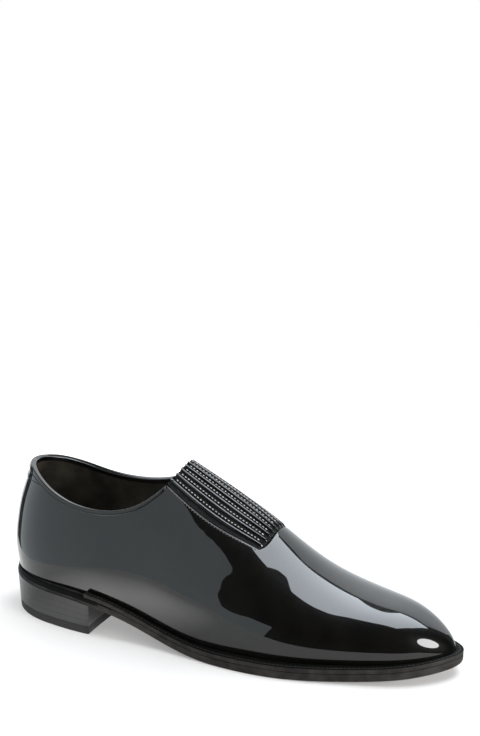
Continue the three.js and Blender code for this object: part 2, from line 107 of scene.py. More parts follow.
# %% [markdown]
# ## From tables to curves
# A draughtsman bends a thin batten through a few pins to draw a fair line. A natural cubic spline
# is that batten in numbers. One curve is made for each column, and each works on a whole row of
# places at once, so that a surface of forty thousand points is ready in a moment.

# %% Fair curves through the tables
def batten(places, heights):
    """The curve of a thin batten held at the given places."""
    at, value = np.array(places, float), np.array(heights, float)
    step = np.diff(at)
    rows, change = np.eye(len(at)), np.zeros(len(at))
    for i in range(1, len(step)):
        rows[i, i - 1:i + 2] = step[i - 1], 2 * (step[i - 1] + step[i]), step[i]
        slopes = (value[i + 1] - value[i]) / step[i], (value[i] - value[i - 1]) / step[i - 1]
        change[i] = 6 * (slopes[0] - slopes[1])
    bend = np.linalg.solve(rows, change)

    def curve(t):
        i = np.clip(np.searchsorted(at, t) - 1, 0, len(step) - 1)
        b = (t - at[i]) / step[i]
        a = 1 - b
        swell = ((a**3 - a) * bend[i] + (b**3 - b) * bend[i + 1]) * step[i]**2 / 6
        return a * value[i] + b * value[i + 1] + swell

    return curve


def battens(places, table):
    return {column: batten(places, values) for column, values in table.items()}


sole, last = battens(sole_at, sole_table), battens(last_at, last_table)
back, topline = battens(back_up, back_table), battens(topline_at, topline_table)
panel = battens(panel_at, panel_table)
at_ball = float(sole["outer"](0.65) + sole["inner"](0.65))
print("tread width at the ball:", round(tread_width * at_ball, 1), "mm")

# %% Outline of the sole and its line from the side
def eased(share):
    """From 0 to 1 with a soft start and a soft end."""
    share = np.clip(share, 0, 1)
    return share**2 * (3 - 2 * share)


def round_end(distance, radius, fullness=3.0):
    """A rounded end: 0 at the tip, 1 from one radius inwards."""
    left = 1 - np.clip(distance / radius, 0, 1)
    return np.sqrt(np.maximum(0, 1 - left**fullness))


def sole_bottom(x):
    at = x / sole_length
    s = np.clip((flat_start - at) / rise_run, 0, 1)
    arch = waist_rise * s**3 * (s * (6 * s - 15) + 10)
    seat = seat_rise * np.clip((flat_start - at) / flat_start, 0, 1)**2
    toe = toe_spring * (np.maximum(0, at - flat_end) / (1 - flat_end))**2
    return arch + seat + toe


def sole_top(x):
    from_waist = (x / sole_length - waist_at) / waist_spread
    return sole_bottom(x) + sole_thickness - waist_thinning * np.exp(-from_waist**2)


def sole_edge(x, side):
    """y of the sole's edge; side is -1 on the outer side and 1 on the inner side."""
    at = x / sole_length
    ends = round_end(x, heel_round) * round_end(sole_length - x, toe_round)
    half = np.where(side < 0, sole["outer"](at), sole["inner"](at))
    return tread_width * (sole["swing"](at) + side * half * ends)


# %% [markdown]
# ## The last as a surface
# Each cross section of the last is one clamped B-spline through seven points: the feather line
# where upper meets sole, the wall, the shoulder, the ridge, and back down. Along the foot the
# points follow the battens. u runs from heel (0) to toe (1), v from the outer feather line (0)
# over the ridge (0.5) to the inner one (1). A few soft marks are then added, because
# leather on a last is never quite even, and it is these that make a reflection wander.

# %% Sections of the last
spline_knots = np.array([0, 0, 0, 0, 0.25, 0.5, 0.75, 1, 1, 1, 1])


def section_points(x):
    """Seven (y, z) points of the section at x."""
    at = x / sole_length
    heel_end = round_end(x - upper_back, heel_round - seat_ledge)
    ends = heel_end * round_end(upper_tip - x, toe_round - toe_ledge)
    outer = (sole["outer"](at) * tread_width - sole["outer_ledge"](at) * welt_ledge) * ends
    inner = (sole["inner"](at) * tread_width - sole["inner_ledge"](at) * welt_ledge) * ends
    middle = sole["swing"](at) * tread_width
    low = sole_top(x) + clearance
    rise = (last["ridge"](at) * instep_height - low) * round_end(upper_tip - x, toe_fall, 2.6)
    up = last["shoulder_up"](at)
    crown = middle + (last["ridge_swing"](at) * tread_width - middle) * ends
    shares = [1 + 0 * at, last["wall_out"](at), last["shoulder_out"](at)]
    y = [middle - outer * s for s in shares] + [crown] + [middle + inner * s for s in shares[::-1]]
    heights = [low, low + rise * last["wall_up"](at), low + rise * up]
    z = heights + [low + rise * (1.5 - 0.5 * up)] + heights[::-1]
    return np.stack([np.stack(y), np.stack(z)], axis=-1)


def last_point(x, v):
    """Points of the bare last, in millimetres from the back of the sole."""
    x, v = np.broadcast_arrays(np.asarray(x, float), np.asarray(v, float))
    points = section_points(x)
    span = np.minimum(6, 3 + np.floor(v * 4).astype(int))
    work = [np.take_along_axis(points, (span - 3 + k)[None, ..., None], axis=0)[0] for k in range(4)]
    for level in (1, 2, 3):
        for k in range(3, level - 1, -1):
            start, end = spline_knots[span - 3 + k], spline_knots[span + 1 + k - level]
            share = ((v - start) / (end - start))[..., None]
            work[k] = (1 - share) * work[k - 1] + share * work[k]
    y, z = work[3][..., 0], work[3][..., 1]
    fade = eased(1 - (x - upper_back) / back_reach)
    up = np.clip(z / quarter_height, back_up[0], back_up[-1])
    lean = (back["lean"](up) * back_lean - upper_back) * fade
    return np.stack([x + lean, y, z], axis=-1)


# %% Stations, normals and the soft marks in the leather
def station_x(u):
    return upper_back + (upper_tip - upper_back) * (0.5 - 0.5 * np.cos(np.pi * u))


def station_u(x):
    return np.arccos(np.clip(1 - 2 * (x - upper_back) / (upper_tip - upper_back), -1, 1)) / np.pi


def last_normal(u, v, step=0.004):
    u, v = np.broadcast_arrays(np.asarray(u, float), np.asarray(v, float))
    u1, v1 = np.clip(u, step, 1 - step), np.clip(v, step, 1 - step)
    along = last_point(station_x(u1 + step / 2), v1) - last_point(station_x(u1 - step / 2), v1)
    across = last_point(station_x(u1), v1 + step / 2) - last_point(station_x(u1), v1 - step / 2)
    normal = np.cross(along, across)
    normal[..., 1] = np.where(u <= 0, 0, normal[..., 1])
    normal = np.where((u >= 1)[..., None], [1.0, 0.0, 0.0], normal)
    return normal / np.linalg.norm(normal, axis=-1, keepdims=True)


leather_marks = [  # x, v, reach along, reach across, height
    (113.0, 0.18, 18.0, 0.070, 0.40),
    (156.0, 0.15, 13.0, 0.060, 0.36),
    (184.0, 0.33, 7.0, 0.030, -0.08),
    (200.0, 0.33, 9.0, 0.045, 0.10),
    (219.0, 0.29, 8.0, 0.040, -0.10),
    (231.0, 0.25, 8.0, 0.035, -0.12),
    (243.0, 0.29, 10.0, 0.045, 0.22),
    (258.0, 0.27, 10.0, 0.050, 0.20),
    (120.0, 0.83, 18.0, 0.060, 0.14),
    (170.0, 0.78, 16.0, 0.050, -0.12),
]


def leather_relief(u, v):
    x = station_x(u)
    relief = 0.0 * x
    for at, across, reach, width, height in leather_marks:
        relief = relief + height * np.exp(-((x - at) / reach)**2 - ((v - across) / width)**2)
    return relief


def skin(u, v, out=0.0):
    """Points on the upper, lifted by out millimetres."""
    u, v = np.broadcast_arrays(np.asarray(u, float), np.asarray(v, float))
    lift = leather_relief(u, v) + out
    return last_point(station_x(u), v) + lift[..., None] * last_normal(u, v)


# %% [markdown]
# ## Where the edges run
# The topline is the edge of the opening; its height is read from the side, and it climbs to the
# back corners of the panel. The panel's outline is drawn from above, as a pattern cutter would.
# Both are found on the last by halving: look in the middle, keep the half that holds the edge.

# %% Topline and panel on the last
def halving(low, high, is_before):
    for _ in range(34):
        middle = (low + high) / 2
        before = is_before(middle)
        low, high = np.where(before, middle, low), np.where(before, high, middle)
    return (low + high) / 2


def panel_plan(along, side):
    """The panel from above; along 0 at its back edge, side -1 to 1 across it."""
    along, side = np.broadcast_arrays(np.asarray(along, float), np.asarray(side, float))
    start = panel_back + panel_back_arch * (1 - side**2)
    end = panel_front + panel_front_arch * (1 - np.abs(side)**5)
    y = panel["swing"](along) * panel_half + side * panel["half"](along) * panel_half
    return start + (end - start) * along, y


def across_at(x, y):
    """v of the place on the last that lies over (x, y)."""
    low, high = np.full(np.shape(x), 0.12), np.full(np.shape(x), 0.88)
    return halving(low, high, lambda v: last_point(x, v)[..., 1] < y)


corner_x, corner_y = panel_plan(0.0, np.array([-1.0, 1.0]))
throat = last_point(corner_x, across_at(corner_x, corner_y))[..., 2]


def topline_height(x, y):
    at = np.clip(x / sole_length, topline_at[0], topline_at[-1])
    heights = []
    for side, top in zip(("outer", "inner"), throat):
        climb = topline[side + "_throat"](at)
        heights.append((1 - climb) * topline[side](at) * quarter_height + climb * top)
    seam = 0.08 * tread_width
    share = np.clip((y + seam) / (2 * seam), 0, 1)
    return heights[0] + share * (heights[1] - heights[0])


def opening_edge(u, side):
    """v of the opening's edge: topline, then the panel's border, then straight on to the toe."""
    x = station_x(u)
    reach = np.clip(x, panel_back, panel_front)
    border_y = panel_plan((reach - panel_back) / (panel_front - panel_back), float(side))[1]
    border = across_at(reach, border_y)
    mirror = (lambda v: v) if side < 0 else (lambda v: 1 - v)

    def below(v):
        point = last_point(x, mirror(v))
        return point[..., 2] < topline_height(point[..., 0], point[..., 1])

    edge = mirror(halving(0.0 * x, 0.0 * x + 0.5, below))
    return np.where(x < panel_back, edge, border)


print("throat corners at", [round(float(z), 1) for z in throat], "mm")

# %% [markdown]
# ## Into the frame
# Blender works in metres, and the solids stand with the middle of their box over the origin. The
# back of the sole and the middle line are read from the outsole's own box, so the pieces land on
# the solids. A piece starts as a grid from the Add menu, and each vertex is then set on its point.

# %% Placing a grid on its points
mm = 0.001
sole_low, sole_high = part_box("outsole")
ball = np.linspace(0.5, 0.8, 200) * sole_length
ball_low, ball_high = sole_edge(ball, -1.0).min(), sole_edge(ball, 1.0).max()
shift = np.array([-sole_low.x / mm, (ball_low + ball_high) / 2 - (sole_low.y + sole_high.y) / 2 / mm, 0.0])
print("the frame's middle is at", shift.round(2), "mm from the back of the sole")


def to_frame(points):
    return (np.asarray(points, float) - shift) * mm


def only(piece):
    """Select this piece alone and make it active."""
    bpy.ops.object.select_all(action="DESELECT")
    piece.select_set(True)
    bpy.context.view_layer.objects.active = piece


def open_mesh():
    bpy.ops.object.mode_set(mode="EDIT")


def close_mesh():
    bpy.ops.object.mode_set(mode="OBJECT")


def grid_piece(name, points):
    rows, columns = points.shape[:2]
    bpy.ops.object.select_all(action="DESELECT")
    bpy.ops.mesh.primitive_grid_add(x_subdivisions=columns - 1, y_subdivisions=rows - 1, size=1)
    piece = bpy.context.active_object
    piece.name = piece.data.name = name
    piece.data.vertices.foreach_set("co", to_frame(points).reshape(-1))
    piece.data.update()
    return piece


def choose_faces(piece, chosen):
    """Select exactly these faces, then open the mesh in edit mode."""
    only(piece)
    open_mesh()
    bpy.ops.mesh.select_mode(type="FACE")
    bpy.ops.mesh.select_all(action="DESELECT")
    close_mesh()
    piece.data.polygons.foreach_set("select", np.asarray(chosen, bool))
    open_mesh()


def weld(piece, holes=0, turn=False):
    """Merge vertices that fall together, fill holes of so many sides, and turn the faces outwards."""
    only(piece)
    open_mesh()
    bpy.ops.mesh.select_all(action="SELECT")
    bpy.ops.mesh.remove_doubles(threshold=0.01 * mm)
    if holes:
        bpy.ops.mesh.fill_holes(sides=holes)
    if turn:
        bpy.ops.mesh.normals_make_consistent(inside=False)
    close_mesh()


def thicken(piece, thickness, offset, material_offset=0):
    """Give a sheet its thickness in millimetres; the offset says to which side it grows."""
    only(piece)
    solidify = piece.modifiers.new("Solidify", "SOLIDIFY")
    solidify.thickness, solidify.offset = thickness * mm, offset
    solidify.material_offset = material_offset
    solidify.use_even_offset = False
    bpy.ops.object.modifier_apply(modifier=solidify.name)


def finish_piece(piece, finishes, slot, *nodes, angle=40):
    """Smooth it, give it its materials, and let it ride and stand for its solids."""
    only(piece)
    bpy.ops.object.shade_smooth_by_angle(angle=math.radians(angle))
    for index, finish in enumerate(finishes):
        if index < len(piece.data.materials):
            piece.data.materials[index] = finish
        else:
            piece.data.materials.append(finish)
    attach(piece, "root")
    if nodes:
        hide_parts(*nodes)
    print(piece.name, "has", len(piece.data.polygons), "faces")


# %% [markdown]
# ## Camera
# A long lens from the front right, a little above the shoe. The photograph shows the shoe low in a
# tall white frame, so the lens is shifted up and the picture's own perspective stays as it was.

# %% Camera at the photograph's angle
azimuth, elevation, roll = math.radians(25.33), math.radians(21.97), math.radians(-0.14)
aim, distance = Vector((0.25, 0.33, 45.0)) * mm, 0.722
frame_width_px, frame_height_px, lens_px = 480, 736, 1167
aim_px = (227.5, 564.2)
sensor_mm = 36


def direction(azimuth, elevation):
    """The way out from the shoe; azimuth 0 is the outer side, and it grows towards the toe."""
    flat = math.cos(elevation)
    return Vector((math.sin(azimuth) * flat, -math.cos(azimuth) * flat, math.sin(elevation)))


backwards = direction(azimuth, elevation)
right = Vector((math.cos(azimuth), math.sin(azimuth), 0))
up = backwards.cross(right)
turned_right = right * math.cos(roll) + up * math.sin(roll)
turned_up = up * math.cos(roll) - right * math.sin(roll)
turn = Matrix((turned_right, turned_up, backwards)).transposed()

bpy.ops.object.camera_add(location=aim + backwards * distance, rotation=turn.to_euler())
camera = bpy.context.active_object
camera.name = "camera"
camera.data.sensor_width = sensor_mm
camera.data.lens = sensor_mm * lens_px / frame_height_px
camera.data.shift_x = -(aim_px[0] - frame_width_px / 2) / frame_height_px
camera.data.shift_y = (aim_px[1] - frame_height_px / 2) / frame_height_px
camera.data.clip_start = 0.01
camera.data.dof.use_dof = False
bpy.context.scene.camera = camera
print("lens", round(camera.data.lens, 1), "mm")
print("shift", round(camera.data.shift_x, 3), round(camera.data.shift_y, 3))

# %% [markdown]
# ## Floor and light
# Patent leather shows what stands round it. The shoe lies on white paper that ends just outside
# the picture, so its near side mirrors the dark room, with a large dim card on the left, a wide
# soft box overhead, a small round one beyond the toe, and a card and the paper behind. The cards
# are bent round the shoe like a fold of paper and aren't seen by the camera itself. A third soft
# box lights the dull pieces alone. The paper glows, less so round the shoe, where its shadow falls.
# Under the waist it glows more for the lacquer, which mirrors a bright patch there.

# %% Paper floor
def studio_finish(name, color, glow=0.0):
    material = bpy.data.materials.new(name)
    material.use_nodes = True
    shader = material.node_tree.nodes["Principled BSDF"]
    shader.inputs["Base Color"].default_value = (*color, 1)
    shader.inputs["Roughness"].default_value = 0.9
    shader.inputs["Specular IOR Level"].default_value = 0.0
    if glow:
        shader.inputs["Emission Color"].default_value = (*color, 1)
        shader.inputs["Emission Strength"].default_value = glow
    return material


paper_corners = [
    (0.212, -0.078), (-0.06, 1.0), (-0.87, 0.9), (-0.25, 0.0), (-0.20, -0.08), (-0.10, -0.185),
]
bpy.ops.object.select_all(action="DESELECT")
bpy.ops.mesh.primitive_circle_add(vertices=len(paper_corners), radius=1, fill_type="NGON")
floor = bpy.context.active_object
floor.name = "paper_floor"
for vertex, corner in zip(floor.data.vertices, paper_corners):
    vertex.co = (*corner, 0)
paper = studio_finish("white_paper", (0.50, 0.475, 0.455))
floor.data.materials.append(paper)

# %% The paper's glow: even far away, less round the shoe, more in the mirrored patch
shoe_place, shoe_reach, glow_far, glow_near = (0.05, -0.06, 0), 0.60, 1.0, 0.23
patch_place, patch_reach, patch_glow = (-0.088, -0.085, 0), 0.072, 2.3
paper_nodes, paper_links = paper.node_tree.nodes, paper.node_tree.links
paper_place = paper_nodes.new("ShaderNodeTexCoord")


def round_spot(place, reach):
    """A value that is 1 at a place and falls evenly to 0 at the given reach."""
    mapping = paper_nodes.new("ShaderNodeMapping")
    mapping.vector_type = "TEXTURE"
    mapping.inputs["Location"].default_value = place
    mapping.inputs["Scale"].default_value = (reach, reach, reach)
    spot = paper_nodes.new("ShaderNodeTexGradient")
    spot.gradient_type = "SPHERICAL"
    paper_links.new(paper_place.outputs["Object"], mapping.inputs["Vector"])
    paper_links.new(mapping.outputs["Vector"], spot.inputs["Vector"])
    return spot.outputs["Fac"]


evened = paper_nodes.new("ShaderNodeMapRange")
evened.inputs["From Max"].default_value = 0.90
evened.inputs["To Min"].default_value = glow_far
evened.inputs["To Max"].default_value = glow_near
paper_links.new(round_spot(shoe_place, shoe_reach), evened.inputs["Value"])
ray = paper_nodes.new("ShaderNodeLightPath")
mirrored = paper_nodes.new("ShaderNodeMath")
mirrored.operation = "MULTIPLY"
paper_links.new(round_spot(patch_place, patch_reach), mirrored.inputs[0])
paper_links.new(ray.outputs["Is Glossy Ray"], mirrored.inputs[1])
brighter = paper_nodes.new("ShaderNodeMath")
brighter.operation = "MULTIPLY_ADD"
brighter.inputs[1].default_value = patch_glow
paper_links.new(mirrored.outputs[0], brighter.inputs[0])
paper_links.new(evened.outputs["Result"], brighter.inputs[2])
paper_shader = paper_nodes["Principled BSDF"]
paper_shader.inputs["Emission Color"].default_value = (1, 1, 1, 1)
paper_links.new(brighter.outputs[0], paper_shader.inputs["Emission Strength"])

# %% Bent cards
card_radius = 6.0


def bent_card(name, turns, lows, highs, color, glow):
    """A glowing sheet bent round the shoe: azimuths, and its lower and upper edge there, in degrees."""
    fine = np.union1d(np.linspace(turns[0], turns[-1], 33), turns)
    edges = [card_radius * np.tan(np.radians(np.interp(fine, turns, edge))) for edge in (lows, highs)]
    around = np.radians(fine)
    ring = np.stack([card_radius * np.sin(around), -card_radius * np.cos(around)], axis=-1)
    points = np.stack([np.column_stack([ring, edge]) for edge in edges])
    card = grid_piece(name, points / mm + shift)
    card.data.materials.append(studio_finish(name + "_glow", color, glow))
    card.visible_camera = False
    card.visible_shadow = False


left_turns = [-100, -21.0, -20.7, -18.5, -14, -10.5, -7, -2, 8, 14]
left_lows = [-28, -28, -6, 0, 9, 17, 24, 32, 48, 60]
cool_white = (0.92, 1.0, 1.04)
bent_card("left_card", left_turns, left_lows, [62] * len(left_turns), cool_white, 0.80)
bent_card("low_card", [-24, -21, -13, -3], [-24, -24, -17, 2], [-6, -5.5, 0.6, 3.5], cool_white, 0.80)
bent_card("back_card", [150, 158, 243], [30, -17, -17], [40, 40, 40], (0.97, 1.0, 1.03), 0.95)


# %% Soft boxes
def soft_box(name, kind, place, size, radiance, color, size_y=None):
    """An area light of the given radiance; its power follows from its area."""
    bpy.ops.object.light_add(type="AREA", location=place)
    lamp = bpy.context.active_object
    lamp.name = name
    lamp.data.shape = kind
    lamp.data.size = size
    area = size**2 if kind == "SQUARE" else math.pi * size**2 / 4
    if size_y:
        lamp.data.size_y = size_y
        area = size * size_y
    lamp.data.energy = radiance * math.pi * area
    lamp.data.color = color
    towards = Vector((0, 0, 0.04)) - Vector(place)
    lamp.rotation_euler = towards.to_track_quat("-Z", "Y").to_euler()
    lamp.visible_camera = False
    return lamp


overhead = soft_box("overhead_box", "RECTANGLE", (0.325, 0.475, 1.3), 0.96, 8.0, (0.86, 0.93, 1.0), 1.6)
overhead.rotation_euler = (0, 0, math.radians(-15))
toe_distance, toe_half_angle = 1.6, math.radians(14)
toe_place = direction(math.radians(73), math.radians(17)) * toe_distance
toe_width = 2 * toe_distance * math.tan(toe_half_angle)
soft_box("toe_box", "DISK", toe_place, toe_width, 16.0, (1, 1, 1))
fill = soft_box("fill_box", "SQUARE", (0.47, -1.0, 0.50), 0.6, 1.1, (1.0, 0.97, 0.94))
fill.visible_glossy = False

# %% White behind, dark elsewhere
world = bpy.data.worlds.new("studio")
bpy.context.scene.world = world
world.use_nodes = True
world_nodes, world_links = world.node_tree.nodes, world.node_tree.links
white = world_nodes["Background"]
white.inputs["Color"].default_value = (1, 1, 1, 1)
dark = world_nodes.new("ShaderNodeBackground")
dark.inputs["Color"].default_value = (0.012, 0.012, 0.013, 1)
seen = world_nodes.new("ShaderNodeLightPath")
either = world_nodes.new("ShaderNodeMixShader")
world_links.new(seen.outputs["Is Camera Ray"], either.inputs[0])
world_links.new(dark.outputs[0], either.inputs[1])
world_links.new(white.outputs[0], either.inputs[2])
world_links.new(either.outputs[0], world_nodes["World Output"].inputs["Surface"])
bpy.context.scene.view_settings.view_transform = "Standard"

# %% [markdown]
# ## Finishes
# Every finish is built from the main shader and a few textures in the object's own coordinates,
# so it stays on the piece from any side. Small helpers wire a texture to a bump, spread a colour
# between two shades, and do both at once.

# %% Helpers for finishes
def leather_finish(name, color, **sockets):
    material = bpy.data.materials.new(name)
    material.use_nodes = True
    shader = material.node_tree.nodes["Principled BSDF"]
    shader.inputs["Base Color"].default_value = (*color, 1)
    for socket, value in sockets.items():
        shader.inputs[socket.replace("_", " ")].default_value = value
    return material, shader


def texture(material, kind, scale, stretch=(1, 1, 1), **sockets):
    """A texture node on object coordinates, with features of about 1 / scale metres."""
    nodes, links = material.node_tree.nodes, material.node_tree.links
    coordinates = nodes.new("ShaderNodeTexCoord")
    mapping = nodes.new("ShaderNodeMapping")
    mapping.inputs["Scale"].default_value = stretch
    pattern = nodes.new(kind)
    pattern.inputs["Scale"].default_value = scale
    for socket, value in sockets.items():
        pattern.inputs[socket].default_value = value
    links.new(coordinates.outputs["Object"], mapping.inputs["Vector"])
    links.new(mapping.outputs["Vector"], pattern.inputs["Vector"])
    return pattern.outputs[0] if kind != "ShaderNodeTexVoronoi" else pattern.outputs["Distance"]


def relief(material, height, depth):
    """A bump of the given depth in metres."""
    bump = material.node_tree.nodes.new("ShaderNodeBump")
    bump.inputs["Strength"].default_value = 1.0
    bump.inputs["Distance"].default_value = depth
    material.node_tree.links.new(height, bump.inputs["Height"])
    return bump.outputs["Normal"]


def shades(material, factor, first, second, start=0.35, end=0.65):
    """A colour that goes from first to second as the factor grows."""
    ramp = material.node_tree.nodes.new("ShaderNodeValToRGB")
    ramp.color_ramp.elements[0].position, ramp.color_ramp.elements[1].position = start, end
    ramp.color_ramp.elements[0].color = (*first, 1)
    ramp.color_ramp.elements[1].color = (*second, 1)
    material.node_tree.links.new(factor, ramp.inputs["Fac"])
    return ramp.outputs["Color"]


def join_to(material, output, shader, socket):
    material.node_tree.links.new(output, shader.inputs[socket])


def dye_and_emboss(material, shader, dye, first, second, height, depth, **span):
    """Spread the colour by one texture and raise the surface by another."""
    join_to(material, shades(material, dye, first, second, **span), shader, "Base Color")
    join_to(material, relief(material, height, depth), shader, "Normal")


# %% [markdown]
# ### Patent leather
# Patent leather is dyed calf under a poured coat of lacquer. The shader's coat layer is that
# lacquer: sharp, and barely wavy over a few millimetres. The grain lies under it and only just
# shows, so the grain goes to the base normal and the slow waves to the coat normal.

# %% Patent finish
def patent_finish(name, wave_depth, wave_scale, grain_depth):
    finish, shader = leather_finish(
        name, (0.002, 0.002, 0.002), Roughness=0.38, Specular_IOR_Level=0.06,
        Coat_Weight=1.0, Coat_Roughness=0.018, Coat_IOR=1.5,
    )
    dye = texture(finish, "ShaderNodeTexNoise", 55, Detail=4.0)
    grain = texture(finish, "ShaderNodeTexVoronoi", 1500)
    black, worn_black = (0.0014, 0.0013, 0.0010), (0.0034, 0.0031, 0.0025)
    dye_and_emboss(finish, shader, dye, black, worn_black, grain, grain_depth)
    wave = texture(finish, "ShaderNodeTexNoise", wave_scale, Detail=2.0)
    join_to(finish, relief(finish, wave, wave_depth), shader, "Coat Normal")
    return finish


patent = patent_finish("patent_lacquer", 0.00004, 45, 0.00003)
panel_patent = patent_finish("tucked_lacquer", 0.00005, 420, 0.00006)

# %% Elastic between the tucks
elastic, elastic_shader = leather_finish(
    "ribbed_elastic", (0.006, 0.006, 0.006), Roughness=0.42, Specular_IOR_Level=0.07)
rib = texture(elastic, "ShaderNodeTexVoronoi", 1700)
dye_and_emboss(
    elastic, elastic_shader, rib, (0.001, 0.001, 0.001), (0.012, 0.012, 0.011), rib, 0.0003,
    start=0.2, end=0.9)

# %% [markdown]
# ### Lining, thread, sole leather and rubber
# The lining is thin brown-black calf with open pores. The waxed thread is black on the binding and
# the tab, brown on the panel's seam and darker brown on the welt. On the tucks it is light grey, a
# painted highlight for the glint along the stitched beads. The edges of welt, sole and heel are
# inked and burnished, with the fine level lines of the layers still showing: a noise drawn out
# sideways, on height alone.

# %% Lining and thread finishes
lining, lining_shader = leather_finish("lining_calf", (0.03, 0.025, 0.019), Roughness=0.5)
worn = texture(lining, "ShaderNodeTexNoise", 60, Detail=6.0)
pores = texture(lining, "ShaderNodeTexVoronoi", 900)
dye_and_emboss(
    lining, lining_shader, worn, (0.013, 0.011, 0.008), (0.050, 0.043, 0.032), pores, 0.00012)


def thread_finish(name, dark_ply, light_ply):
    finish, shader = leather_finish(name, dark_ply, Roughness=0.4, Specular_IOR_Level=0.2)
    ply = texture(finish, "ShaderNodeTexNoise", 2500, Detail=2.0)
    dye_and_emboss(finish, shader, ply, dark_ply, light_ply, ply, 0.00005)
    return finish


thread = thread_finish("black_thread", (0.0020, 0.0019, 0.0018), (0.008, 0.0075, 0.007))
brown_thread = thread_finish("brown_thread", (0.035, 0.031, 0.027), (0.095, 0.086, 0.075))
# Light grey: a painted highlight for the glint along the tuck stitches.
grey_thread_painted_glint = thread_finish("grey_thread_painted_glint", (0.20, 0.196, 0.19), (0.55, 0.54, 0.53))
welt_thread = thread_finish("dark_brown_thread", (0.012, 0.0105, 0.009), (0.040, 0.036, 0.031))

# %% Inked edges of welt, sole and heel
def inked_finish(name, dark_ink, light_ink, roughness, line_depth, gloss):
    finish, shader = leather_finish(name, dark_ink, Roughness=roughness, Specular_IOR_Level=gloss)
    scuff = texture(finish, "ShaderNodeTexNoise", 140, Detail=6.0)
    lines = texture(finish, "ShaderNodeTexNoise", 220, stretch=(1, 1, 9), Detail=3.0)
    dye_and_emboss(finish, shader, scuff, dark_ink, light_ink, lines, line_depth)
    return finish


welt_ink = inked_finish("inked_welt", (0.0015, 0.0015, 0.0015), (0.003, 0.003, 0.0025), 0.55, 0.00012, 0.06)
# Near-black ink for the groove at the seat: black ink, darkened further as painted shade for the recess
# under the upper.
seat_ink_and_painted_shade = inked_finish(
    "inked_seat_groove_painted_shade", (0.0015, 0.0015, 0.0015), (0.003, 0.003, 0.003), 0.6, 0.00005, 0.06)
edge_ink = inked_finish("inked_sole_edge", (0.012, 0.011, 0.010), (0.030, 0.027, 0.024), 0.55, 0.0003, 0.14)
heel_ink = inked_finish("inked_heel", (0.004, 0.004, 0.004), (0.008, 0.008, 0.0075), 0.30, 0.00002, 0.36)

rubber, rubber_shader = leather_finish(
    "heel_rubber", (0.010, 0.010, 0.010), Roughness=0.6, Specular_IOR_Level=0.25)
speckle = texture(rubber, "ShaderNodeTexNoise", 700, Detail=4.0)
dye_and_emboss(
    rubber, rubber_shader, speckle, (0.003, 0.003, 0.003), (0.009, 0.009, 0.009), speckle, 0.0002)

# %% [markdown]
# ## The upper
# One skin from the feather line up to the opening. It could be a solid with the opening cut out,
# but a cut leaves slivers that patent leather would show. So the grid's rows follow the edge of
# the opening: wall rows, three rows for the binding, rows across the vamp, and the same again on
# the inner side. The faces over the opening are deleted, the back seam is welded, and Solidify
# gives the leather and its lining their thickness inwards.

# %% Rows and columns of the upper
u_throat, u_front = station_u(panel_back), station_u(panel_front)
wall_rows, band_rows, vamp_rows = 56, 3, 38
throat_column, front_column, tip_column = 120, 156, 256
columns = np.concatenate([
    np.linspace(0, u_throat, throat_column + 1),
    np.linspace(u_throat, u_front, front_column - throat_column + 1)[1:],
    np.linspace(u_front, 1, tip_column - front_column + 1)[1:],
])
outer_edge, inner_edge = opening_edge(columns, -1), opening_edge(columns, 1)


def band_below(edge, side):
    """v of the line one binding width below the edge, measured on the leather."""
    step = 0.002 * side
    apart = last_point(station_x(columns), edge + step) - last_point(station_x(columns), edge)
    slope = np.linalg.norm(apart, axis=-1) / abs(step)
    return edge + side * binding_width / np.maximum(slope, 20)


outer_band, inner_band = band_below(outer_edge, -1), band_below(inner_edge, 1)

# %% Vamp rows that follow the panel's front edge
share = np.linspace(0, 1, vamp_rows + 1)[:, None]
front_x, front_y = panel_plan(1.0, 2 * share[:, 0] - 1)
front_v = across_at(front_x, front_y)
front_share = (front_v - front_v[0]) / (front_v[-1] - front_v[0])
vamp_blend = 38
fade = 1 - eased((station_x(columns) - panel_front) / vamp_blend)
vamp_share = share + fade * (front_share[:, None] - share)
vamp_v = outer_edge + vamp_share * (inner_edge - outer_edge)
vamp_bulge = fade * (front_x - panel_front)[:, None]

rise = np.linspace(0, 1, wall_rows + 1)[:, None]
band = np.linspace(0, 1, band_rows + 1)[:, None]
rows_v = np.concatenate([
    rise * outer_band,
    (outer_band + band * (outer_edge - outer_band))[1:],
    vamp_v[1:],
    (inner_edge + band * (inner_band - inner_edge))[1:],
    (inner_band + rise * (1 - inner_band))[1:],
])
bulge = np.zeros(rows_v.shape)
first_vamp = wall_rows + band_rows
bulge[first_vamp:first_vamp + vamp_rows + 1] = vamp_bulge
rows_u = station_u(station_x(columns) + bulge)
print("upper grid:", rows_v.shape[0], "rows and", rows_v.shape[1], "columns")

# %% Place the upper and open it
upper_shape = grid_piece("patent_upper", skin(rows_u, rows_v))
face_row, face_column = np.divmod(np.arange(len(upper_shape.data.polygons)), len(columns) - 1)
over_vamp = (face_row >= first_vamp) & (face_row < first_vamp + vamp_rows)
in_band = (face_row >= wall_rows) & (face_row < wall_rows + 2 * band_rows + vamp_rows) & ~over_vamp
binding_faces = in_band & (face_column < throat_column)
opening_faces = over_vamp & (face_column < front_column)

choose_faces(upper_shape, binding_faces)
bpy.ops.mesh.duplicate()
bpy.ops.mesh.separate(type="SELECTED")
close_mesh()
binding_strip = [piece for piece in bpy.context.selected_objects if piece is not upper_shape][0]
binding_strip.name = binding_strip.data.name = "topline_binding_strip"

near_rim = binding_faces & ~np.isin(face_row, [wall_rows, first_vamp + vamp_rows + band_rows - 1])
choose_faces(upper_shape, opening_faces | near_rim)
bpy.ops.mesh.delete(type="FACE")
close_mesh()
weld(upper_shape)
print("upper:", len(upper_shape.data.polygons), "faces round the opening")

# %% [markdown]
# The leather's cut edge round the panel is turned and burnished, which shows as one bright line.
# After Solidify the rim stands at right angles to the skin, so its edges are chosen by their
# angle, leaving out those down at the feather line, and bevelled.

